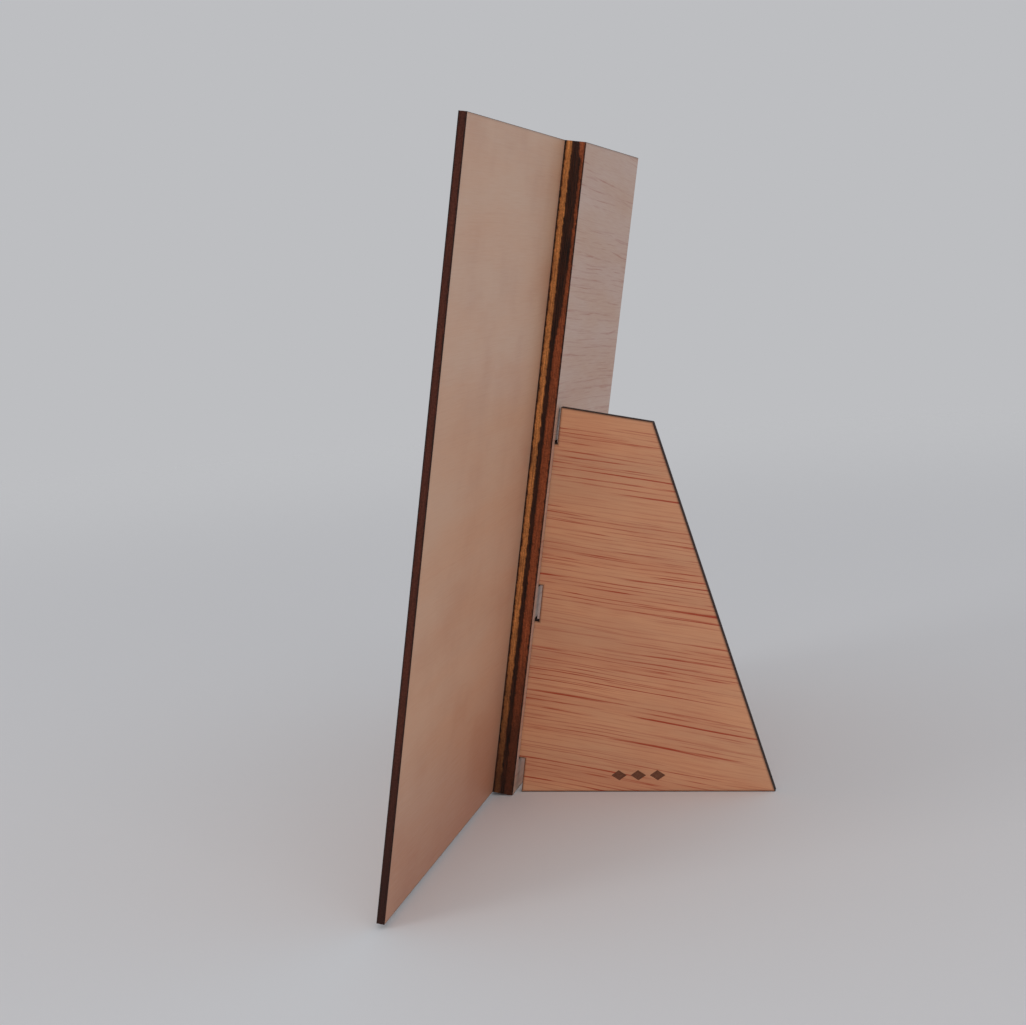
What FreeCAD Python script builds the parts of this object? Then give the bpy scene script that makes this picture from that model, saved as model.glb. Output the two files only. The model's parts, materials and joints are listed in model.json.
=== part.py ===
import FreeCAD, Part
import math
import os

# A flat-pack table frame for one photo, cut from thin plywood, leaning back on a plug-in leg.
#
# Row frame: origin at the centre of the base on the table, +X across the frame (to the right as
# seen from the front), +Y from the front to the back, +Z up. Millimetres.
#
# Board frame, in which every board is drawn: x across, y away from the front measured from the
# rear face of the back plate (so the boards lie at y < 0), z up along the boards from their
# bottom edge. Leaning turns the board frame about the plate's rear bottom edge.

# Stance
LEAN = math.radians(10.4)
LEG_REACH = 101.0          # from the plate's rear bottom edge to the foot's rear end

# Board sizes
PANEL_WIDTH = 300.0
BOARD_HEIGHT = 250.0       # front panel, plate and stiles are all this tall
PANEL_THICKNESS = 2.7
LAYER_THICKNESS = 4.0      # back plate, spacer strips and leg
PLATE_RIGHT = 7.0          # edge of the plate beside the leg, from the leg's mid plane
PLATE_WIDTH = 120.0
STRIP_WIDTH = 14.0         # stiles, bottom rail and ledge

# Photo pocket, between the stiles
PRINT_SIZE = (89.0, 127.0)
PRINT_THICKNESS = 0.25
INSERT_SIZE = (91.0, 130.0)    # clear sheet and backing board
CLEAR_THICKNESS = 1.5
BACKING_THICKNESS = 2.0
INSERT_GAP = 0.05          # between the sheets in the pocket
LEDGE_TOP = 60.0
WINDOW_SIZE = (84.0, 122.0)

# Leg, with heights along the boards
LEG_HEIGHT = 152.0
LEG_TOP_WIDTH = 36.0
LEG_TOP_DROP = 1.0         # the top edge's fall to its outer end, besides the lean
SHOULDER_GAP_TOP = 0.8     # from the plate to the leg between the tabs
SHOULDER_GAP_BOTTOM = 2.4
TAB_LENGTH = 55.0
TAB_BOTTOMS = (14.0, 83.0)
TAB_END_GAP = 0.1          # from the tab's end to the front panel
SLOT_SIDE_CLEARANCE = 0.1
SLOT_CLEARANCE_BELOW = 0.4
SLOT_CLEARANCE_ABOVE = 1.0

# Engraved row of lozenges low on the leg's +X face
LOZENGE_COUNT = 3
LOZENGE_SIZE = (6.0, 4.0)
LOZENGE_PITCH = 7.5
LOZENGE_DEPTH = 0.3
LOZENGE_CENTRE = (49.0, 6.5)   # from the plate's rear bottom edge, and above the table

# Depths in the board frame
PLATE_FRONT = -LAYER_THICKNESS
SPACER_FRONT = PLATE_FRONT - LAYER_THICKNESS
PANEL_FRONT = SPACER_FRONT - PANEL_THICKNESS

# Places across the boards
PLATE_LEFT = PLATE_RIGHT - PLATE_WIDTH
POCKET_LEFT = PLATE_LEFT + STRIP_WIDTH
POCKET_RIGHT = PLATE_RIGHT - STRIP_WIDTH
POCKET_WIDTH = POCKET_RIGHT - POCKET_LEFT
POCKET_CENTRE = (POCKET_LEFT + POCKET_RIGHT) / 2
WINDOW_BOTTOM = LEDGE_TOP + (PRINT_SIZE[1] - WINDOW_SIZE[1]) / 2

# The base runs from the panel's front bottom edge to the foot's rear end
BASE_FRONT = PANEL_FRONT * math.cos(LEAN)
BASE_CENTRE = (BASE_FRONT + LEG_REACH) / 2

THROUGH = 1.0              # how far a cutting solid runs past each face


def board(left, front, bottom, width, thickness, height):
    """A rectangular board in the board frame."""
    corner = FreeCAD.Vector(left, front, bottom)
    return Part.makeBox(width, thickness, height, corner)


def lean(shape):
    """Takes a shape from the board frame to the row frame."""
    placed = shape.copy()
    placed.rotate(FreeCAD.Vector(0, 0, 0), FreeCAD.Vector(1, 0, 0), -math.degrees(LEAN))
    placed.translate(FreeCAD.Vector(0, -BASE_CENTRE, 0))
    return placed


def leg_slots(front, thickness):
    """Cutting solids for the leg's two slots through a layer that starts at depth front."""
    width = LAYER_THICKNESS + 2 * SLOT_SIDE_CLEARANCE
    height = TAB_LENGTH + SLOT_CLEARANCE_BELOW + SLOT_CLEARANCE_ABOVE
    slots = []
    for tab_bottom in TAB_BOTTOMS:
        bottom = tab_bottom - SLOT_CLEARANCE_BELOW
        slot = board(-width / 2, front - THROUGH, bottom, width, thickness + 2 * THROUGH, height)
        slots.append(slot)
    return slots


def front_panel():
    panel = board(-PANEL_WIDTH / 2, PANEL_FRONT, 0, PANEL_WIDTH, PANEL_THICKNESS, BOARD_HEIGHT)
    left = POCKET_CENTRE - WINDOW_SIZE[0] / 2
    depth = PANEL_THICKNESS + 2 * THROUGH
    window = board(left, PANEL_FRONT - THROUGH, WINDOW_BOTTOM, WINDOW_SIZE[0], depth, WINDOW_SIZE[1])
    return panel.cut(window)


def inner_stile():
    stile = board(POCKET_RIGHT, SPACER_FRONT, 0, STRIP_WIDTH, LAYER_THICKNESS, BOARD_HEIGHT)
    return stile.cut(leg_slots(SPACER_FRONT, LAYER_THICKNESS))


def outer_stile():
    return board(PLATE_LEFT, SPACER_FRONT, 0, STRIP_WIDTH, LAYER_THICKNESS, BOARD_HEIGHT)


def cross_strip(bottom):
    """A strip between the stiles: the bottom rail or the ledge that the photo stands on."""
    return board(POCKET_LEFT, SPACER_FRONT, bottom, POCKET_WIDTH, LAYER_THICKNESS, STRIP_WIDTH)


def back_plate():
    plate = board(PLATE_LEFT, PLATE_FRONT, 0, PLATE_WIDTH, LAYER_THICKNESS, BOARD_HEIGHT)
    return plate.cut(leg_slots(PLATE_FRONT, LAYER_THICKNESS))


def insert(front, thickness, size):
    """A sheet standing on the ledge, with its front face at depth front."""
    return board(POCKET_CENTRE - size[0] / 2, front, LEDGE_TOP, size[0], thickness, size[1])


def leg_outline():
    """The leg's corners in the board frame, from the inner end of its top edge, as (y, z)."""
    foot_depth = LEG_REACH * math.cos(LEAN)
    foot_height = LEG_REACH * math.sin(LEAN)
    heel_height = SHOULDER_GAP_BOTTOM * math.tan(LEAN)
    tab_end = SPACER_FRONT + TAB_END_GAP
    taper = (SHOULDER_GAP_BOTTOM - SHOULDER_GAP_TOP) / (LEG_HEIGHT - heel_height)
    corners = [
        (SHOULDER_GAP_TOP, LEG_HEIGHT),
        (LEG_TOP_WIDTH, LEG_HEIGHT - LEG_TOP_DROP),
        (foot_depth, foot_height),
        (SHOULDER_GAP_BOTTOM, heel_height),
    ]
    for bottom in TAB_BOTTOMS:
        top = bottom + TAB_LENGTH
        corners.append((SHOULDER_GAP_TOP + taper * (LEG_HEIGHT - bottom), bottom))
        corners.append((tab_end, bottom))
        corners.append((tab_end, top))
        corners.append((SHOULDER_GAP_TOP + taper * (LEG_HEIGHT - top), top))
    return corners


def lozenges():
    """Shallow cutting solids on the leg's +X face, in the row frame."""
    half_length = LOZENGE_SIZE[0] / 2
    half_height = LOZENGE_SIZE[1] / 2
    floor = LAYER_THICKNESS / 2 - LOZENGE_DEPTH
    cutters = []
    for index in range(LOZENGE_COUNT):
        shift = (index - (LOZENGE_COUNT - 1) / 2) * LOZENGE_PITCH
        y = LOZENGE_CENTRE[0] - BASE_CENTRE + shift
        z = LOZENGE_CENTRE[1]
        corners = [
            FreeCAD.Vector(floor, y - half_length, z),
            FreeCAD.Vector(floor, y, z - half_height),
            FreeCAD.Vector(floor, y + half_length, z),
            FreeCAD.Vector(floor, y, z + half_height),
        ]
        face = Part.Face(Part.makePolygon(corners + corners[:1]))
        cutters.append(face.extrude(FreeCAD.Vector(LOZENGE_DEPTH + THROUGH, 0, 0)))
    return cutters


def support_leg():
    side = -LAYER_THICKNESS / 2
    corners = [FreeCAD.Vector(side, y, z) for y, z in leg_outline()]
    face = Part.Face(Part.makePolygon(corners + corners[:1]))
    leg = face.extrude(FreeCAD.Vector(LAYER_THICKNESS, 0, 0))
    return lean(leg).cut(lozenges())


def export(name, shape):
    """Writes one closed solid as parts/NAME.step."""
    if not shape.isValid() or len(shape.Solids) != 1:
        raise RuntimeError(name + " is not one valid solid")
    shape.Solids[0].exportStep("parts/" + name + ".step")


def main():
    os.makedirs("parts", exist_ok=True)
    clear_front = SPACER_FRONT + 2 * INSERT_GAP
    print_front = clear_front + CLEAR_THICKNESS + INSERT_GAP
    backing_front = print_front + PRINT_THICKNESS + INSERT_GAP
    export("front_panel", lean(front_panel()))
    export("inner_stile", lean(inner_stile()))
    export("outer_stile", lean(outer_stile()))
    export("bottom_rail", lean(cross_strip(0)))
    export("photo_ledge", lean(cross_strip(LEDGE_TOP - STRIP_WIDTH)))
    export("back_plate", lean(back_plate()))
    export("clear_sheet", lean(insert(clear_front, CLEAR_THICKNESS, INSERT_SIZE)))
    export("photo_print", lean(insert(print_front, PRINT_THICKNESS, PRINT_SIZE)))
    export("backing_board", lean(insert(backing_front, BACKING_THICKNESS, INSERT_SIZE)))
    export("support_leg", support_leg())


main()
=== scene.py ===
import json
import math
from collections import namedtuple

import bmesh
import bpy
from mathutils import Matrix, Vector, noise
from mathutils.geometry import delaunay_2d_cdt


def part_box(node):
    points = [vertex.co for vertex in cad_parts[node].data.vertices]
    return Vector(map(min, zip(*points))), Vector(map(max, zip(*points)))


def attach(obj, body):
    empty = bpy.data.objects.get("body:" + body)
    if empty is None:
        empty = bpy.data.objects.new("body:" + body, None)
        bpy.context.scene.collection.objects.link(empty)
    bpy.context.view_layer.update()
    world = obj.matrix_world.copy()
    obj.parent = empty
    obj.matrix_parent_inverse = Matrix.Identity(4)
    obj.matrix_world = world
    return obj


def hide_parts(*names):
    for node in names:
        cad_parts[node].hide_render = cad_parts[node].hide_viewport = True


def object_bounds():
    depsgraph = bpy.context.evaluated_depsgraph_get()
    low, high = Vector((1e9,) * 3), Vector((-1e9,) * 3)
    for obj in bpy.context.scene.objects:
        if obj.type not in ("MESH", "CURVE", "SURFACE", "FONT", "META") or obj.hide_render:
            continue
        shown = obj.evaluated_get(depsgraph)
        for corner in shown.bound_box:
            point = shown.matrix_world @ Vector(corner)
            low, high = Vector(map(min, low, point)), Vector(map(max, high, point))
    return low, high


# A leaning plywood photo frame, made of thin laser-cut boards around its CAD frame. Metres, in the
# CAD's row frame: +X across, +Y from the front to the back, +Z up. Most boards lean, so they are
# drawn in a leaning frame turned about the X axis: x across, w through the boards, v up along them.

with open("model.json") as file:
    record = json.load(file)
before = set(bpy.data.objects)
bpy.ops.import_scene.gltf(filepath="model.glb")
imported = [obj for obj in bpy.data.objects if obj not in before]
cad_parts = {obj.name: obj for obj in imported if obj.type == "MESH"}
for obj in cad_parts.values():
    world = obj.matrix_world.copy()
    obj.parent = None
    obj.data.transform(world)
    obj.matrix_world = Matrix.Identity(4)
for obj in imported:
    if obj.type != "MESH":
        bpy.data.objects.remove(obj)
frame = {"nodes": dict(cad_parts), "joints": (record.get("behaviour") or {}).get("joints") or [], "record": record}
cad_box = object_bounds()

MM = 0.001

# ---------------------------------------------------------------- frame facts

LIFT_AXIS = Vector(next(j["axis"] for j in frame["joints"] if j["name"] == "photo_print_lift"))
LEAN = math.atan2(LIFT_AXIS.y, LIFT_AXIS.z)
TO_ROW = Matrix.Rotation(-LEAN, 4, "X")
TO_LEAN = TO_ROW.inverted()
BODY_OF = {
    node: body
    for body, nodes in frame["record"]["behaviour"]["bodies"].items()
    for node in nodes
}


def lean_box(node):
    """Lowest and highest corner of a leaning rectangular board in the leaning frame."""
    low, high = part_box(node)
    sine, cosine = math.sin(LEAN), math.cos(LEAN)
    depth, rise = high.y - low.y, high.z - low.z
    thickness = (depth * cosine - rise * sine) / (cosine ** 2 - sine ** 2)
    height = (rise - thickness * sine) / cosine
    corner = TO_LEAN @ Vector((low.x, low.y, low.z + thickness * sine))
    return corner, corner + Vector((high.x - low.x, thickness, height))


BOARD_FOOT, BOARD_TOP = (corner.z for corner in lean_box("back_plate"))


# ---------------------------------------------------------------- outlines

STEP = 2.0 * MM            # longest run between points along a cut edge
FACE_GRID = 8.0 * MM       # spacing of the vertices on a broad face
GRID_CLEAR = 3.0 * MM      # how far those stay from a cut


def rectangle(low, high):
    """An anticlockwise rectangle from its lowest and highest (x, y) corners."""
    return [(low[0], low[1]), (high[0], low[1]), (high[0], high[1]), (low[0], high[1])]


def hole(low, high):
    """A clockwise rectangle, which is a hole in a sheet."""
    return list(reversed(rectangle(low, high)))


def mitres(corners):
    """For each corner, how it moves as the outline shrinks into the sheet by one unit."""
    ways = []
    for index, here in enumerate(corners):
        way_in = (Vector(here) - Vector(corners[index - 1])).normalized()
        way_out = (Vector(corners[(index + 1) % len(corners)]) - Vector(here)).normalized()
        normal_in = Vector((-way_in.y, way_in.x))
        normal_out = Vector((-way_out.y, way_out.x))
        ways.append((normal_in + normal_out) / (1 + normal_in.dot(normal_out)))
    return ways


def shrunk(corners, inset):
    """An outline moved into the sheet."""
    return [tuple(Vector(corner) + way * inset) for corner, way in zip(corners, mitres(corners))]


def dense(corners):
    """The closed outline's points, no more than STEP apart, each with its inward way."""
    ways = mitres(corners)
    points = []
    for index, corner in enumerate(corners):
        after = (index + 1) % len(corners)
        here, there = Vector(corner), Vector(corners[after])
        runs = max(1, math.ceil((there - here).length / STEP))
        for run in range(runs):
            part = run / runs
            points.append((here.lerp(there, part), ways[index].lerp(ways[after], part)))
    return points


def area(points):
    """Signed area of a closed outline, positive when it runs anticlockwise."""
    total = 0.0
    for index, (x, y) in enumerate(points):
        after = points[(index + 1) % len(points)]
        total += x * after[1] - after[0] * y
    return total / 2


def in_sheet(x, y, outlines):
    """Whether a point is in the sheet: in its outer outline and in none of its holes."""
    within = False
    for corners in outlines:
        for index, (ax, ay) in enumerate(corners):
            bx, by = corners[(index + 1) % len(corners)]
            if (ay > y) != (by > y) and x < ax + (y - ay) * (bx - ax) / (by - ay):
                within = not within
    return within


def grid_points(outlines):
    """Points on a grid over the sheet, clear of its outlines, for even triangles on its face."""
    xs = [x for x, y in outlines[0]]
    ys = [y for x, y in outlines[0]]
    clear = [(dx, dy) for dx in (-GRID_CLEAR, GRID_CLEAR) for dy in (-GRID_CLEAR, GRID_CLEAR)]
    points = []
    for column in range(1, int((max(xs) - min(xs)) / FACE_GRID) + 1):
        for row in range(1, int((max(ys) - min(ys)) / FACE_GRID) + 1):
            x = min(xs) + column * FACE_GRID
            y = min(ys) + row * FACE_GRID
            if all(in_sheet(x + dx, y + dy, outlines) for dx, dy in clear):
                points.append((x, y))
    return points


# ---------------------------------------------------------------- cut sheets

BROAD, EDGE, SPECIAL = 0, 1, 2     # material slots; SPECIAL is for pockets or a second broad face

RIM_INSETS = (2.0 * MM, 1.0 * MM, 0.4 * MM)    # rings on a broad face, beside its cut edge
ARRIS = 0.15 * MM
ARRIS_MIDDLE = 0.3         # both offsets of a rounded arris's middle point, as parts of its size
GROOVE = 0.06 * MM         # depth of the groove at a glue line
GROOVE_SPREAD = 1.5        # half of a groove's width, in groove depths
WAVER = 0.03 * MM          # unevenness of a laser cut
WAVER_RATE = 900.0         # its features per metre along the cut
WAVER_THROUGH = 0.4        # the same through the thickness, as a part of that rate
POCKET_DRAFT = 0.1 * MM    # how far an engraving narrows to its floor
MERGE_GAP = 1e-6           # millimetres within which the face triangulation joins points


def cut_profile(thickness, glue_lines, arris):
    """Stations down a cut edge as (depth, inset): rounded arrises and a groove at each glue line."""
    middle = arris * ARRIS_MIDDLE
    spread = GROOVE * GROOVE_SPREAD
    stations = [(0.0, arris), (middle, middle), (arris, 0.0)]
    for line in glue_lines:
        depth = line * thickness
        stations += [(depth - spread, 0.0), (depth, GROOVE), (depth + spread, 0.0)]
    return stations + [(thickness - arris, 0.0), (thickness - middle, middle), (thickness, arris)]


class SheetMesh:
    """A sheet's mesh in its own frame: outlines in x and y, depth in z.

    Each vertex carries what the materials read: "rim", which rises to 1 at a cut edge, and
    "cut", the depth in the sheet and the sheet's thickness.
    """

    def __init__(self, thickness):
        self.thickness = thickness
        self.bm = bmesh.new()
        self.rim = self.bm.verts.layers.float.new("rim")
        self.cut = self.bm.verts.layers.float_vector.new("cut")

    def vertex(self, x, y, depth, rim=0.0):
        made = self.bm.verts.new((x, y, depth))
        made[self.rim] = rim
        made[self.cut] = Vector((depth, self.thickness, 0.0))
        return made

    def ring(self, points, depth, inset, rim=0.0, waver=0.0):
        """One closed ring of vertices, moved into the sheet by inset and a little unevenness."""
        made = []
        for here, mitre in points:
            spot = Vector((here.x, here.y, depth * WAVER_THROUGH)) * WAVER_RATE
            place = here + mitre * (inset + waver * abs(noise.noise(spot)))
            made.append(self.vertex(place.x, place.y, depth, rim))
        return made

    def bridge(self, first, second, material):
        """Faces between two rings that have as many vertices."""
        for index in range(len(first)):
            after = (index + 1) % len(first)
            face = self.bm.faces.new((first[index], first[after], second[after], second[index]))
            face.material_index = material

    def fill(self, rings, outlines, depth, material):
        """A flat cap between rings, the first one outside and the others round its holes."""
        verts, edges = [], []
        for loop in rings:
            first = len(verts)
            verts.extend(loop)
            edges += [(first + i, first + (i + 1) % len(loop)) for i in range(len(loop))]
        verts += [self.vertex(x, y, depth) for x, y in grid_points(outlines)]
        spots = [vertex.co.xy / MM for vertex in verts]
        found, _, triangles, sources, _, _ = delaunay_2d_cdt(spots, edges, [], 1, MERGE_GAP)
        for triangle in triangles:
            middle = sum((found[i] for i in triangle), Vector((0.0, 0.0))) / 3 * MM
            if in_sheet(middle.x, middle.y, outlines):
                face = self.bm.faces.new([verts[sources[i][0]] for i in triangle])
                face.material_index = material

    def edge(self, corners, glue_lines, arris, waver, low_face):
        """A cut edge round one outline, with the rims of both broad faces, as a list of rings."""
        points = dense(corners)
        low_rim = [(0.0, inset) for inset in RIM_INSETS]
        high_rim = [(self.thickness, inset) for inset in reversed(RIM_INSETS)]
        stations = low_rim + cut_profile(self.thickness, glue_lines, arris) + high_rim
        edge_first = len(low_rim)
        edge_last = len(stations) - len(high_rim) - 1
        rings = []
        for index, (depth, inset) in enumerate(stations):
            on_edge = edge_first <= index <= edge_last
            rim = 1.0 if on_edge else 1.0 - inset / RIM_INSETS[0]
            uneven = waver if edge_first < index < edge_last else 0.0
            rings.append(self.ring(points, depth, inset, rim, uneven))
        for index in range(len(rings) - 1):
            material = EDGE if index < edge_last else BROAD
            self.bridge(rings[index], rings[index + 1], low_face if index < edge_first else material)
        return rings

    def pocket(self, corners, depth):
        """A pocket sunk into the face at full depth; gives its lip."""
        points = dense(corners)
        lip = self.ring(points, self.thickness, 0.0)
        floor = self.ring(points, self.thickness - depth, -POCKET_DRAFT)
        self.bridge(lip, floor, SPECIAL)
        self.fill([floor], [shrunk(corners, -POCKET_DRAFT)], self.thickness - depth, SPECIAL)
        return lip

    def piece(self, name, to_row):
        """The finished mesh as an object in the row frame."""
        self.bm.transform(to_row)
        bmesh.ops.recalc_face_normals(self.bm, faces=self.bm.faces)
        mesh = bpy.data.meshes.new(name)
        self.bm.to_mesh(mesh)
        self.bm.free()
        made = bpy.data.objects.new(name, mesh)
        bpy.context.scene.collection.objects.link(made)
        return made


def cut_sheet(name, loops, thickness, to_row, glue_lines=(), arris=ARRIS, waver=WAVER,
              pockets=(), pocket_depth=0.0, low_face=BROAD):
    """A closed sheet from outlines: the first loop runs anticlockwise, and the holes clockwise.

    The pockets are clockwise outlines too. low_face is the material slot of the broad face at
    depth 0.
    """
    sheet = SheetMesh(thickness)
    low_cap, high_cap = [], []
    for corners in loops:
        rings = sheet.edge(corners, glue_lines, arris, waver, low_face)
        low_cap.append(rings[0])
        high_cap.append(rings[-1])
    for corners in pockets:
        high_cap.append(sheet.pocket(corners, pocket_depth))
    outlines = [shrunk(corners, RIM_INSETS[0]) for corners in loops]
    sheet.fill(low_cap, outlines, 0.0, low_face)
    sheet.fill(high_cap, outlines + list(pockets), thickness, BROAD)
    return sheet.piece(name, to_row)


# ---------------------------------------------------------------- shader nodes

# A layer of noise: its features per metre along and across the grain, its detail, a shift that
# sets it apart from other layers, the stretch of its 0 to 1 over which it comes in, and roughness.
Layer = namedtuple("Layer", "along across detail shift start end roughness", defaults=(0.0, 1.0, 0.55))


class Shader:
    """A small helper that builds one material's node tree."""

    def __init__(self, name):
        self.material = bpy.data.materials.new(name)
        self.material.use_nodes = True
        self.tree = self.material.node_tree
        self.surface = self.tree.nodes["Principled BSDF"]

    def give(self, socket, value):
        """Links a node's output to a socket, or sets the socket to a plain value."""
        if isinstance(value, bpy.types.NodeSocket):
            self.tree.links.new(value, socket)
        else:
            socket.default_value = value

    def add(self, kind, inputs=(), **settings):
        node = self.tree.nodes.new("ShaderNode" + kind)
        for key, value in settings.items():
            setattr(node, key, value)
        for key, value in dict(inputs).items():
            self.give(node.inputs[key], value)
        return node

    def math(self, operation, first, second=0.0, third=0.0, clamp=False):
        inputs = {0: first, 1: second, 2: third}
        return self.add("Math", inputs, operation=operation, use_clamp=clamp).outputs[0]

    def vector(self, x, y, z):
        return self.add("CombineXYZ", {0: x, 1: y, 2: z}).outputs[0]

    def place(self, leaning=True):
        """Object coordinates, in the leaning frame if asked, as separate x, y and z in metres."""
        coordinates = self.add("TexCoord").outputs["Object"]
        turn = LEAN if leaning else 0.0
        turned = self.add("Mapping", {"Vector": coordinates, "Rotation": (turn, 0.0, 0.0)})
        parts = self.add("SeparateXYZ", {0: turned.outputs[0]})
        return parts.outputs[0], parts.outputs[1], parts.outputs[2]

    def noise(self, vector, scale, detail, roughness):
        inputs = {"Vector": vector, "Scale": scale, "Detail": detail, "Roughness": roughness}
        return self.add("TexNoise", inputs).outputs[0]

    def speckle(self, rate, detail, roughness=0.5):
        """Noise with no direction, at so many features per metre."""
        return self.noise(self.vector(*self.place()), rate, detail, roughness)

    def stretched(self, layer, along, across, seed=0.0):
        """A layer's noise, from about 0 to 1."""
        spot = self.vector(self.math("MULTIPLY", along, layer.along), seed + layer.shift,
                           self.math("MULTIPLY", across, layer.across))
        return self.noise(spot, 1.0, layer.detail, layer.roughness)

    def fade(self, value, start, end, low=0.0, high=1.0):
        """Smooth step of value from start to end, from low to high."""
        inputs = {"Value": value, "From Min": start, "From Max": end, "To Min": low, "To Max": high}
        return self.add("MapRange", inputs, interpolation_type="SMOOTHSTEP").outputs[0]

    def patches(self, layer, along, across, seed=0.0, amount=1.0):
        """Where a layer of noise has come in, from 0 to amount."""
        return self.fade(self.stretched(layer, along, across, seed), layer.start, layer.end, 0.0, amount)

    def mix(self, amount, first, second):
        node = self.add("Mix", data_type="RGBA")
        self.give(node.inputs[0], amount)
        self.give(node.inputs[6], first)
        self.give(node.inputs[7], second)
        return node.outputs[2]

    def attribute(self, name, output):
        return self.add("Attribute", attribute_name=name).outputs[output]

    def bump(self, height, strength, distance):
        inputs = {"Height": height, "Strength": strength, "Distance": distance}
        return self.add("Bump", inputs).outputs[0]

    def finish(self, **inputs):
        """Sets the surface's inputs, named with underscores for spaces, and gives the material."""
        for key, value in inputs.items():
            self.give(self.surface.inputs[key.replace("_", " ")], value)
        return self.material


def srgb(red, green, blue):
    """Linear colour from 0 to 255 display values."""
    def linear(value):
        part = value / 255
        return part / 12.92 if part <= 0.04045 else ((part + 0.055) / 1.055) ** 2.4
    return (linear(red), linear(green), linear(blue), 1.0)


# ---------------------------------------------------------------- veneer

RIM_BROWN = srgb(84, 48, 30)   # smoke stain on a face beside a cut
RIM_START = 0.5                # where in "rim" the stain begins

WANDER = Layer(9.0, 14.0, 2.0, 0.0)                   # the grain's slow sideways drift
TONE = Layer(9.0, 60.0, 3.0, 3.0, 0.3, 0.7)           # broad bands of tone
BLOTCH = Layer(26.0, 30.0, 3.0, 4.0, 0.4, 0.75)
FIBRE = Layer(60.0, 2400.0, 3.0, 5.0, 0.4, 0.75)      # fine fibres
BUNDLE = Layer(5.0, 85.0, 1.0, 6.0, 0.45, 0.65)       # where pore lines bunch together
SPACING = Layer(3.0, 45.0, 1.0, 0.0)                  # uneven spacing of the pore lines
SWAY = Layer(16.0, 160.0, 2.0, 1.0)                   # a line's small sways
BREAKS = Layer(24.0, 520.0, 3.0, 2.0, 0.42, 0.58)     # the gaps along a line

SPACING_SWING = 4.5        # how far, in pitches, the uneven spacing moves a line
SWAY_SWING = 0.7           # the same for its sways
LINE_CORE = 0.4            # part of a line's half width that is at full strength
BUNDLE_LINES = (0.38, 0.54, 0.15, 1.0)     # over this stretch of BUNDLE, lines go from faint to full
BUNDLE_TINT = 0.14         # how much of the line tone tints the wood between bundled lines
FIBRE_LINES = (0.3, 0.6, 0.6, 1.0)         # the same over a stretch of FIBRE
BOLD_SHIFT, FINE_SHIFT = 10.0, 20.0        # set the bold and the fine lines apart
FINE_PITCH, FINE_WIDTH, FINE_STRENGTH = 0.6, 1.3, 0.7      # of the fine lines, beside the bold
FOOT_SHADE_REACH = 70 * MM      # how far up from the foot the painted shade near the floor fades out
VENEER_ROUGHNESS = (0.2, 0.8, 0.39, 0.55)  # over this stretch of FIBRE, from smooth to rough
VENEER_RELIEF = (0.2, 0.06 * MM)           # strength and distance of the bump


def pore_lines(shader, along, across, bundles, pitch, width, seed):
    """Strength of the pore lines: wavering, broken lines about pitch apart, most in bundles."""
    spacing = shader.stretched(SPACING, along, across, seed)
    sway = shader.stretched(SWAY, along, across, seed)
    field = shader.math("MULTIPLY", spacing, SPACING_SWING)
    field = shader.math("MULTIPLY_ADD", across, 1 / pitch, field)
    field = shader.math("MULTIPLY_ADD", sway, SWAY_SWING, field)
    off_line = shader.math("ABSOLUTE", shader.math("SUBTRACT", shader.math("FRACT", field), 0.5))
    line = shader.fade(off_line, width * LINE_CORE, width, 1.0, 0.0)
    unbroken = shader.patches(BREAKS, along, across, seed)
    present = shader.math("MULTIPLY", unbroken, shader.fade(bundles, *BUNDLE_LINES))
    return shader.math("MULTIPLY", line, present)


def veneer(name, tone, tone_shift, line_tone, line_amount, grain="x", slant=0.0, drift=3 * MM,
           pitch=3.3 * MM, width=0.1, fibre_amount=0.1, mottle=0.0, foot_shade=0.0, rim_amount=0.75,
           seed=0.0):
    """Bare veneer: a broad tone that drifts, fine fibres, and thin red-brown pore lines.

    grain is the leaning frame's axis that it runs along. slant is the fall of the grain along
    its length, and drift is how far it wanders. pitch is the distance between lines, and width
    a line's half width in pitches. The argument for painted shade at the foot is how much of the
    line tone is mixed in near the board's foot, where the floor shades it.
    """
    shader = Shader(name)
    x, w, v = shader.place()
    along = x if grain == "x" else w
    wander = shader.stretched(WANDER, along, v, seed)
    across = shader.math("MULTIPLY_ADD", along, slant, shader.math("MULTIPLY_ADD", wander, drift, v))
    fibre = shader.stretched(FIBRE, along, across, seed)
    bundles = shader.stretched(BUNDLE, along, across, seed)

    colour = shader.mix(shader.patches(TONE, along, across, seed), tone, tone_shift)
    marks_and_foot_shade = (
        # painted shade: darker towards the board's foot, where the floor shades it
        shader.fade(v, BOARD_FOOT, BOARD_FOOT + FOOT_SHADE_REACH, foot_shade, 0.0),
        shader.patches(BLOTCH, along, across, seed, mottle),
        shader.fade(fibre, FIBRE.start, FIBRE.end, 0.0, fibre_amount),
        shader.fade(bundles, BUNDLE.start, BUNDLE.end, 0.0, line_amount * BUNDLE_TINT),
    )
    for amount in marks_and_foot_shade:
        colour = shader.mix(amount, colour, line_tone)

    bold = pore_lines(shader, along, across, bundles, pitch, width, seed + BOLD_SHIFT)
    fine = pore_lines(shader, along, across, bundles, pitch * FINE_PITCH, width * FINE_WIDTH,
                      seed + FINE_SHIFT)
    lines = shader.math("MULTIPLY_ADD", fine, FINE_STRENGTH, bold, clamp=True)
    lines = shader.math("MULTIPLY", lines, shader.fade(fibre, *FIBRE_LINES))
    colour = shader.mix(shader.math("MULTIPLY", lines, line_amount), colour, line_tone)
    stain = shader.fade(shader.attribute("rim", "Fac"), RIM_START, 1.0, 0.0, rim_amount)
    colour = shader.mix(stain, colour, RIM_BROWN)

    relief = shader.math("MULTIPLY_ADD", lines, -1.0, fibre)
    return shader.finish(Base_Color=colour, Roughness=shader.fade(fibre, *VENEER_ROUGHNESS),
                         Normal=shader.bump(relief, *VENEER_RELIEF))


# ---------------------------------------------------------------- burnt wood

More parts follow.
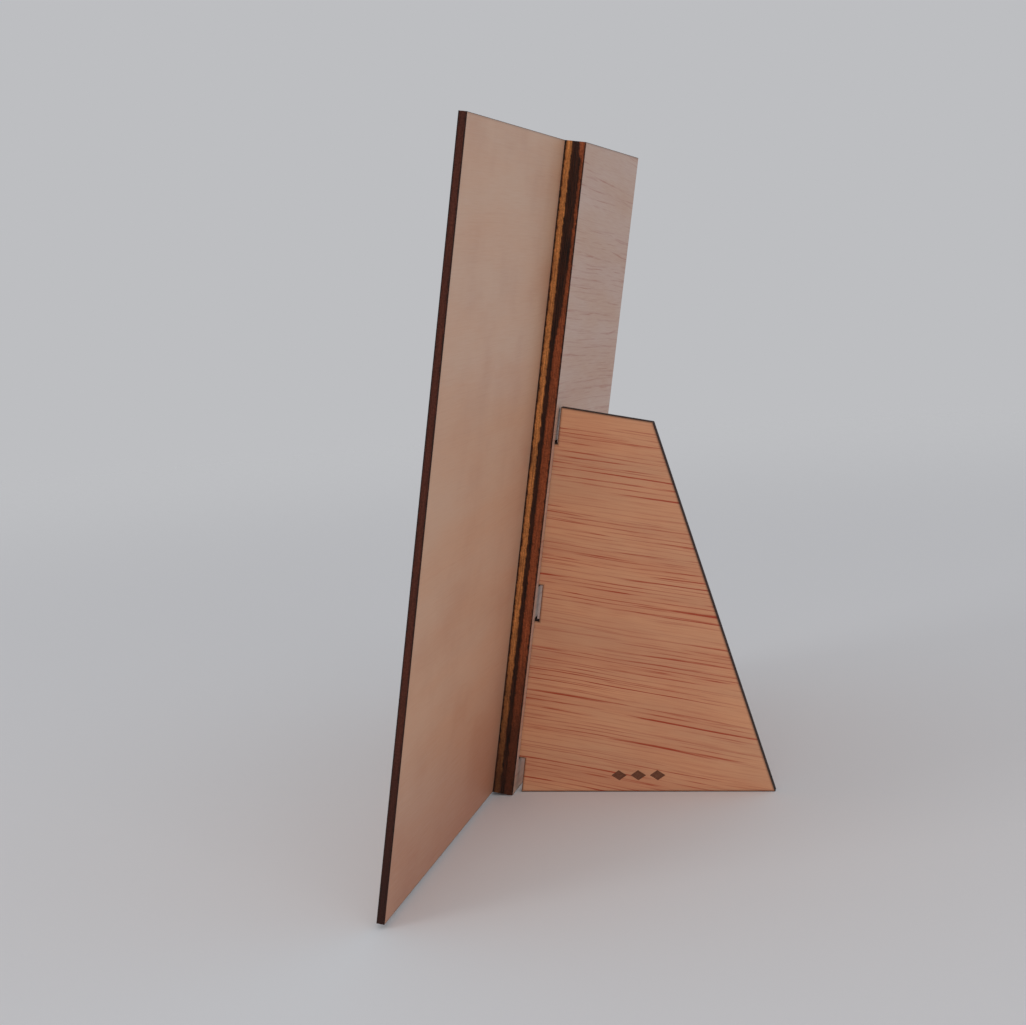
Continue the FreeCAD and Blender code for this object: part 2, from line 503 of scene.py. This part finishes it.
SOOT = srgb(28, 17, 12)
CHAR = srgb(78, 40, 23)
ENGRAVED_BROWNS = (srgb(84, 52, 40), srgb(146, 96, 72))
BURNT_SPECULAR = 0.25

RAGGED_LOW = Layer(420.0, 1.0, 4.0, 0.0)              # the core's two ragged borders
RAGGED_HIGH = Layer(420.0, 1.0, 4.0, 3.0)
SCORCH = Layer(70.0, 0.5, 2.0, 6.0, 0.5, 0.75)        # patches where the core is scorched
STREAK = Layer(90.0, 14.0, 3.0, 9.0, 0.35, 0.7)       # streaks down the plies

RAGGEDNESS = 0.4           # how far the borders stray, in thicknesses
BORDER_SOFTNESS = 0.09     # half the width over which the core meets the char, in thicknesses
SWEEP_UNEVEN = 24 * MM     # how far the sweep's ends stray up and down the board
SWEEP_END = 80 * MM        # below the board's top, where the sweep has died out
SWEEP_FULL = 45 * MM       # and where it is full
SPARED_FROM = 6 * MM       # the sweep weakens again from here
SPARED_FULL = 1 * MM
SPARED_LEFT = 0.2
EDGE_FOOT_SHADE_REACH = 80 * MM       # how far up from the foot the painted shade near the floor thins out
EDGE_FOOT_SHADE_LIGHT = 0.2           # how light the core still is at the foot, under that painted shade
STREAK_SHADE = (0.3, 0.7, 1.0, 0.35)       # over this stretch of STREAK, from full to dim
SPECK_SHADE = (0.35, 0.7, 1.0, 0.6)        # the same over a stretch of the grit
GRIT_RATE = 1500.0         # grains per metre
GRIT_ROUGHNESS = (0.2, 0.8, 0.6, 0.9)      # over this stretch of the grit, from smooth to rough
CUT_RELIEF = (0.5, 0.12 * MM)              # strength and distance of the bump
THINNEST = 0.1 * MM        # least thickness that the depth is divided by


def ragged(shader, layer, run, through, place, seed):
    """A place through the thickness that strays raggedly along the run."""
    stray = shader.math("SUBTRACT", shader.stretched(layer, run, through, seed), 0.5)
    return shader.math("MULTIPLY_ADD", stray, RAGGEDNESS, place)


def char_sweep(shader, scorch, v, sweep):
    """How far the char spreads over the core just below the board's top, in thicknesses."""
    centred = shader.math("SUBTRACT", v, SWEEP_UNEVEN / 2)
    climb = shader.math("MULTIPLY_ADD", scorch, SWEEP_UNEVEN, centred)
    spread = shader.fade(climb, BOARD_TOP - SWEEP_END, BOARD_TOP - SWEEP_FULL, 0.0, sweep)
    spared = shader.fade(climb, BOARD_TOP - SPARED_FROM, BOARD_TOP - SPARED_FULL, 1.0, SPARED_LEFT)
    return shader.math("MULTIPLY", spread, spared)


def burnt_edge(name, core, char, core_start, core_end, burn=0.4, sweep=0.0, seed=0.0):
    """A laser-cut plywood edge: charred outer veneers round a lighter core, with painted shade on the core near
    the board's foot.

    core_start and core_end are parts of the thickness, and burn is how dark the core's scorched
    patches are. sweep is how far the char spreads over the core just below the board's top.
    """
    shader = Shader(name)
    x, w, v = shader.place()
    cut = shader.add("SeparateXYZ", {0: shader.attribute("cut", "Vector")})
    through = shader.math("DIVIDE", cut.outputs[0], shader.math("MAXIMUM", cut.outputs[1], THINNEST))
    run = shader.math("ADD", x, shader.math("ADD", w, v))
    scorch = shader.stretched(SCORCH, run, through, seed)
    streak = shader.stretched(STREAK, run, through, seed)
    grit = shader.speckle(GRIT_RATE, detail=3.0, roughness=0.6)

    unswept = shader.math("SUBTRACT", through, char_sweep(shader, scorch, v, sweep))
    near = ragged(shader, RAGGED_LOW, run, through, unswept, seed)
    far = ragged(shader, RAGGED_HIGH, run, through, through, seed)
    past_start = shader.fade(near, core_start - BORDER_SOFTNESS, core_start + BORDER_SOFTNESS)
    before_end = shader.fade(far, core_end - BORDER_SOFTNESS, core_end + BORDER_SOFTNESS, 1.0, 0.0)
    in_core = shader.math("MULTIPLY", past_start, before_end)

    light = in_core
    for shade in (
        shader.fade(scorch, SCORCH.start, SCORCH.end, 1.0, 1.0 - burn),
        shader.fade(streak, *STREAK_SHADE),
        shader.fade(grit, *SPECK_SHADE),
        # painted shade: the core darkens towards the board's foot, where the floor shades it
        shader.fade(v, BOARD_FOOT, BOARD_FOOT + EDGE_FOOT_SHADE_REACH, EDGE_FOOT_SHADE_LIGHT, 1.0),
    ):
        light = shader.math("MULTIPLY", light, shade)
    burnt = shader.mix(shader.fade(streak, STREAK.start, STREAK.end), SOOT, char)
    relief = shader.math("ADD", grit, in_core)
    return shader.finish(Base_Color=shader.mix(light, burnt, core),
                         Roughness=shader.fade(grit, *GRIT_ROUGHNESS),
                         Normal=shader.bump(relief, *CUT_RELIEF), Specular_IOR_Level=BURNT_SPECULAR)


def engraving():
    """The browned floor that a laser leaves when it engraves."""
    shader = Shader("engraving")
    grit = shader.speckle(rate=1600.0, detail=3.0, roughness=0.6)
    return shader.finish(Base_Color=shader.mix(grit, *ENGRAVED_BROWNS), Roughness=0.85,
                         Normal=shader.bump(grit, strength=0.4, distance=0.08 * MM),
                         Specular_IOR_Level=BURNT_SPECULAR)


# ---------------------------------------------------------------- what the pocket holds

ACRYLIC_TINT = (0.97, 0.99, 0.98, 1.0)
ACRYLIC_ALPHA = 0.5        # lets light straight through, because the sheet casts hardly a shadow
ACRYLIC_EDGE_TINTS = ((0.62, 0.78, 0.74, 1.0), (0.80, 0.90, 0.87, 1.0))
PAPER_WHITES = ((0.70, 0.70, 0.68, 1.0), (0.82, 0.81, 0.78, 1.0))
HARDBOARD_BROWNS = (srgb(122, 88, 58), srgb(142, 106, 72))
HARDBOARD_SPECK = srgb(82, 54, 34)

CLOUDS = Layer(25.0, 90.0, 4.0, 0.0, 0.5, 0.75, 0.6)
SHIMMER = Layer(60.0, 700.0, 3.0, 4.0, roughness=0.5)
GRASS = Layer(500.0, 260.0, 4.0, 2.0, roughness=0.5)
SHORE = Layer(30.0, 0.0, 4.0, 9.0, roughness=0.5)
SLOPES = Layer(160.0, 380.0, 5.0, 0.0, 0.35, 0.65)
SLOPE_SHIFT, RIDGE_SHIFT = 90.0, 40.0      # times a range's height, these set the ranges apart

# From the farthest: height of the ridge up the print, its swing, peaks per metre, and colours.
RANGES = (
    (0.60, 0.16, 22.0, srgb(168, 190, 206), srgb(148, 172, 190)),
    (0.50, 0.18, 30.0, srgb(126, 158, 150), srgb(98, 130, 126)),
    (0.41, 0.14, 42.0, srgb(92, 124, 84), srgb(54, 84, 60)),
)
LAKE_TOP = 0.36            # the far shore's height up the print
BANK_BASE = 0.10           # the bank's top starts at this height
BANK_SWING = 0.14          # and is up to this much higher
SKY_TONES = (srgb(250, 226, 196), srgb(140, 190, 228))     # at the bottom and the top
CLOUD_WHITE = srgb(252, 248, 242)
CLOUD_COVER = 0.6
LAKE_TONES = (srgb(134, 172, 192), srgb(232, 228, 212))
GRASS_TONES = (srgb(92, 124, 60), srgb(192, 194, 112))


def acrylic():
    """Clear sheet with a faint smear in its polish."""
    shader = Shader("clear_acrylic")
    smear = shader.speckle(rate=30.0, detail=3.0)
    return shader.finish(Base_Color=ACRYLIC_TINT, IOR=1.49, Transmission_Weight=1.0, Alpha=ACRYLIC_ALPHA,
                         Roughness=shader.fade(smear, 0.3, 0.8, low=0.01, high=0.05),
                         Normal=shader.bump(smear, strength=0.05, distance=0.1 * MM))


def acrylic_edge():
    """The greener cut edge of the clear sheet."""
    shader = Shader("clear_acrylic_edge")
    ripple = shader.speckle(rate=900.0, detail=2.0)
    return shader.finish(Base_Color=shader.mix(ripple, *ACRYLIC_EDGE_TINTS), Roughness=0.18,
                         Normal=shader.bump(ripple, strength=0.2, distance=0.1 * MM),
                         Transmission_Weight=0.7)


def paper():
    """The white edge and back of the print's card."""
    shader = Shader("paper_white")
    pulp = shader.speckle(rate=1500.0, detail=3.0)
    return shader.finish(Base_Color=shader.mix(pulp, *PAPER_WHITES), Roughness=0.7,
                         Normal=shader.bump(pulp, strength=0.2, distance=0.05 * MM))


def landscape():
    """An invented view on the print's face: sky, three ranges of hills, a lake and its bank."""
    shader = Shader("photo_print_face")
    low, high = lean_box("photo_print")
    x, w, v = shader.place()
    rise = shader.add("MapRange", {"Value": v, "From Min": low.z, "From Max": high.z}).outputs[0]
    colour = shader.mix(shader.fade(v, low.z, high.z), *SKY_TONES)
    colour = shader.mix(shader.patches(CLOUDS, x, v, amount=CLOUD_COVER), colour, CLOUD_WHITE)
    for base, swing, peaks, sunlit, shaded in RANGES:
        skyline = Layer(along=peaks, across=0.0, detail=5.0, shift=0.0)
        ridge = shader.stretched(skyline, x, v, base * RIDGE_SHIFT)
        top = shader.math("MULTIPLY_ADD", shader.math("SUBTRACT", ridge, 0.5), swing, base)
        hills = shader.mix(shader.patches(SLOPES, x, v, base * SLOPE_SHIFT), shaded, sunlit)
        colour = shader.mix(shader.math("LESS_THAN", rise, top), colour, hills)
    lake = shader.mix(shader.stretched(SHIMMER, x, v), *LAKE_TONES)
    colour = shader.mix(shader.math("LESS_THAN", rise, LAKE_TOP), colour, lake)
    bank = shader.math("MULTIPLY_ADD", shader.stretched(SHORE, x, v), BANK_SWING, BANK_BASE)
    grass = shader.mix(shader.stretched(GRASS, x, v), *GRASS_TONES)
    colour = shader.mix(shader.math("LESS_THAN", rise, bank), colour, grass)
    return shader.finish(Base_Color=colour, Roughness=0.35)


def hardboard(name):
    """Brown pressed board."""
    shader = Shader(name)
    blotch = shader.speckle(rate=60.0, detail=3.0)
    speck = shader.speckle(rate=2200.0, detail=4.0, roughness=0.7)
    colour = shader.mix(blotch, *HARDBOARD_BROWNS)
    colour = shader.mix(shader.fade(speck, 0.45, 0.7, low=0.0, high=0.5), colour, HARDBOARD_SPECK)
    return shader.finish(Base_Color=colour, Roughness=0.75,
                         Normal=shader.bump(speck, strength=0.3, distance=0.06 * MM))


# ---------------------------------------------------------------- pieces

VENEER_PLATE = veneer("veneer_plate", srgb(205, 166, 142), srgb(209, 177, 160), srgb(170, 88, 66), 0.5,
                      drift=1.5 * MM, slant=-0.045, pitch=4.5 * MM, rim_amount=0.4, seed=2.0)
# The panel's back face gets painted shade at its foot, where the floor shades it.
VENEER_PANEL = veneer("veneer_panel", srgb(217, 177, 149), srgb(217, 171, 140), srgb(172, 98, 66), 0.06,
                      fibre_amount=0.02, mottle=0.2, foot_shade=0.5, rim_amount=0.3, seed=31.0)
VENEER_FRONT = veneer("veneer_front", srgb(220, 172, 140), srgb(212, 166, 134), srgb(172, 80, 48), 0.65,
                      drift=4 * MM, pitch=4 * MM, width=0.11, mottle=0.2, seed=23.0)
VENEER_LAYER = veneer("veneer_layer", srgb(200, 146, 110), srgb(190, 132, 96), srgb(150, 82, 58), 0.6,
                      seed=47.0)
VENEER_LEG = veneer("veneer_leg", srgb(228, 165, 122), srgb(216, 162, 124), srgb(176, 60, 26), 1.0,
                    grain="w", slant=0.01, pitch=2.7 * MM, width=0.13, mottle=0.15, fibre_amount=0.2,
                    seed=65.0)
EDGE_STILE = burnt_edge("edge_stile", srgb(240, 154, 84), CHAR, 0.18, 0.68, seed=1.0)
EDGE_PLATE = burnt_edge("edge_plate", srgb(180, 92, 51), CHAR, 0.16, 0.86, sweep=0.5, seed=4.0)
EDGE_PANEL = burnt_edge("edge_panel", srgb(98, 44, 26), srgb(58, 25, 17), 0.15, 0.85, burn=0.3, seed=7.0)
EDGE_LEG = burnt_edge("edge_leg", srgb(66, 36, 28), srgb(46, 25, 19), 0.2, 0.8, seed=9.0)

GLUE_LINES = (0.27, 0.73)  # a sheet's three plies meet at these parts of its thickness
SAME_PLANE = 0.01 * MM     # vertices this close to a plane are in it
HOLE_MARGIN = 0.1 * MM     # a hole's corners are at least this far from the board's edge
CORNER_DECIMALS = 5        # a hole's corners are rounded to so many decimals of a metre
WELD = 0.001 * MM          # the leg's CAD vertices are joined within this distance
FLAT_ANGLE = 0.01          # radians within which its faces count as one
FACING = 0.99              # least X of the normal of a face that looks along X
MOTIF_AREA = 20 * MM * MM  # an engraved lozenge is smaller than this


def board_to_row(depth):
    """Takes a sheet drawn as (x, v, depth) to the row frame, its low face at w = depth."""
    axes = Matrix(((1, 0, 0, 0), (0, 0, 1, depth), (0, 1, 0, 0), (0, 0, 0, 1)))
    return TO_ROW @ axes


def holes_of(node):
    """The rectangular holes in a leaning board's CAD node, as clockwise (x, v) outlines."""
    low, high = lean_box(node)
    corners = set()
    for vert in frame["nodes"][node].data.vertices:
        spot = TO_LEAN @ vert.co
        if abs(spot.y - low.y) < SAME_PLANE:
            corners.add((round(spot.x, CORNER_DECIMALS), round(spot.z, CORNER_DECIMALS)))
    inner = [
        (x, v) for x, v in corners
        if low.x + HOLE_MARGIN < x < high.x - HOLE_MARGIN
        and low.z + HOLE_MARGIN < v < high.z - HOLE_MARGIN
    ]
    levels = sorted({v for x, v in inner})
    holes = []
    for bottom, top in zip(levels[0::2], levels[1::2]):
        across = sorted(x for x, v in inner if v == bottom)
        holes.append(hole((across[0], bottom), (across[-1], top)))
    return holes


def dress(piece, node, *materials):
    """Gives a piece its materials, and lets it stand for a CAD node and ride on its body."""
    for material in materials:
        piece.data.materials.append(material)
    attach(piece, BODY_OF[node])
    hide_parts(node)


def make_board(name, node, *materials, **options):
    """A leaning rectangular board or sheet, with its CAD node's holes."""
    low, high = lean_box(node)
    loops = [rectangle((low.x, low.z), (high.x, high.z))] + holes_of(node)
    board = cut_sheet(name, loops, high.y - low.y, board_to_row(low.y), **options)
    dress(board, node, *materials)


def make_leg():
    """The leg, from its CAD node's own side outline, with the engraved lozenges."""
    low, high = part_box("support_leg")
    bm = bmesh.new()
    bm.from_mesh(frame["nodes"]["support_leg"].data)
    bmesh.ops.remove_doubles(bm, verts=bm.verts, dist=WELD)
    bmesh.ops.dissolve_limit(bm, angle_limit=FLAT_ANGLE, verts=bm.verts, edges=bm.edges)
    side = max((f for f in bm.faces if f.normal.x < -FACING), key=lambda f: f.calc_area())
    outline = [(vert.co.y, vert.co.z) for vert in side.verts]
    floors = [f for f in bm.faces if f.normal.x > FACING and f.calc_area() < MOTIF_AREA]
    motif_depth = high.x - floors[0].verts[0].co.x
    motifs = [[(vert.co.y, vert.co.z) for vert in f.verts] for f in floors]
    bm.free()
    if area(outline) < 0:
        outline.reverse()
    motifs = [list(reversed(motif)) if area(motif) > 0 else motif for motif in motifs]
    to_row = Matrix(((0, 0, 1, low.x), (1, 0, 0, 0), (0, 1, 0, 0), (0, 0, 0, 1)))
    leg = cut_sheet("leg_board", [outline], high.x - low.x, to_row, GLUE_LINES,
                    pockets=motifs, pocket_depth=motif_depth)
    dress(leg, "support_leg", VENEER_LEG, EDGE_LEG, engraving())


def make_boards():
    make_board("panel_board", "front_panel", VENEER_PANEL, EDGE_PANEL, VENEER_FRONT,
               glue_lines=GLUE_LINES, low_face=SPECIAL)
    make_board("plate_board", "back_plate", VENEER_PLATE, EDGE_PLATE, glue_lines=GLUE_LINES)
    for node in ("inner_stile", "outer_stile", "bottom_rail", "photo_ledge"):
        make_board(node + "_strip", node, VENEER_LAYER, EDGE_STILE, glue_lines=GLUE_LINES)


def make_pocket_sheets():
    make_board("clear_sheet_pane", "clear_sheet", acrylic(), acrylic_edge(), arris=0.1 * MM, waver=0.0)
    white = paper()
    make_board("photo_print_card", "photo_print", white, white, landscape(), arris=0.03 * MM,
               waver=0.0, low_face=SPECIAL)
    make_board("backing_board_sheet", "backing_board", hardboard("backing_face"),
               hardboard("backing_edge"), arris=0.2 * MM)


# ---------------------------------------------------------------- stage, light and camera

FLOOR_REACH = 3.0
FLOOR_SIDES = 96
FLOOR_GAP = 0.05 * MM      # below the object, so that no faces coincide
FLOOR_SOLID = 0.7          # the floor is solid this far out, then fades into the backdrop's tone
FLOOR_GONE = 2.0
FLOOR_PALING = (0.4, 1.7)  # it also pales between these distances, to meet that tone
FLOOR_NEAR = (0.80, 0.80, 0.81, 1.0)
FLOOR_FAR = (0.94, 0.94, 0.94, 1.0)
BACKDROP = srgb(189, 190, 193)

# Square softboxes: name, place, side and power in watts.
SOFT_LIGHTS = (
    ("window", (1.45, -1.45, 1.45), 0.8, 4.2),
    ("camera_side", (1.8, 1.2, 1.6), 1.6, 6.0),
    ("side_fill", (2.2, 0.2, 0.9), 1.2, 4.0),
)

CAMERA_PLACE = Vector((0.6653, 0.1217, 0.1988))
CAMERA_YAW = math.radians(13.57)   # from straight along -X towards -Y
CAMERA_PITCH = math.radians(7.41)  # downwards
CAMERA_ROLL = math.radians(-3.98)
CAMERA_LENS = 63.2
SENSOR_WIDTH = 36.0


def make_floor():
    bm = bmesh.new()
    bmesh.ops.create_circle(bm, cap_ends=True, segments=FLOOR_SIDES, radius=FLOOR_REACH)
    mesh = bpy.data.meshes.new("floor")
    bm.to_mesh(mesh)
    bm.free()
    floor = bpy.data.objects.new("floor", mesh)
    floor.location.z = cad_box[0].z - FLOOR_GAP
    bpy.context.scene.collection.objects.link(floor)
    shader = Shader("floor")
    x, y, z = shader.place(leaning=False)
    squares = shader.math("ADD", shader.math("POWER", x, 2.0), shader.math("POWER", y, 2.0))
    reach = shader.math("POWER", squares, 0.5)
    tone = shader.mix(shader.fade(reach, *FLOOR_PALING), FLOOR_NEAR, FLOOR_FAR)
    shader.finish(Base_Color=tone, Roughness=0.9, Specular_IOR_Level=0.1,
                  Alpha=shader.fade(reach, FLOOR_SOLID, FLOOR_GONE, 1.0, 0.0))
    mesh.materials.append(shader.material)


def make_world():
    world = bpy.data.worlds.new("studio")
    world.use_nodes = True
    background = world.node_tree.nodes["Background"]
    background.inputs["Color"].default_value = BACKDROP
    background.inputs["Strength"].default_value = 1.0
    bpy.context.scene.world = world


def soft_light(name, place, size, power):
    """A square softbox aimed at the middle of the object, and not itself in view."""
    lamp = bpy.data.lights.new(name, "AREA")
    lamp.shape = "SQUARE"
    lamp.size = size
    lamp.energy = power
    holder = bpy.data.objects.new(name, lamp)
    middle = (cad_box[0] + cad_box[1]) / 2
    holder.location = place
    holder.rotation_euler = (middle - Vector(place)).to_track_quat("-Z", "Y").to_euler()
    holder.visible_camera = False
    bpy.context.scene.collection.objects.link(holder)


def make_camera():
    level = Vector((-math.cos(CAMERA_YAW), -math.sin(CAMERA_YAW), 0.0))
    side = Vector((-math.sin(CAMERA_YAW), math.cos(CAMERA_YAW), 0.0))
    up = Vector((0.0, 0.0, 1.0))
    ahead = level * math.cos(CAMERA_PITCH) - up * math.sin(CAMERA_PITCH)
    top = up * math.cos(CAMERA_PITCH) + level * math.sin(CAMERA_PITCH)
    rolled_side = side * math.cos(CAMERA_ROLL) + top * math.sin(CAMERA_ROLL)
    rolled_top = top * math.cos(CAMERA_ROLL) - side * math.sin(CAMERA_ROLL)
    turn = Matrix((rolled_side, rolled_top, -ahead)).transposed().to_4x4()
    lens = bpy.data.cameras.new("camera")
    lens.lens = CAMERA_LENS
    lens.sensor_width = SENSOR_WIDTH
    camera = bpy.data.objects.new("camera", lens)
    camera.matrix_world = Matrix.Translation(CAMERA_PLACE) @ turn
    bpy.context.scene.collection.objects.link(camera)
    bpy.context.scene.camera = camera


make_boards()
make_pocket_sheets()
make_leg()
make_floor()
make_world()
for light in SOFT_LIGHTS:
    soft_light(*light)
make_camera()
bpy.context.scene.view_settings.view_transform = "Standard"
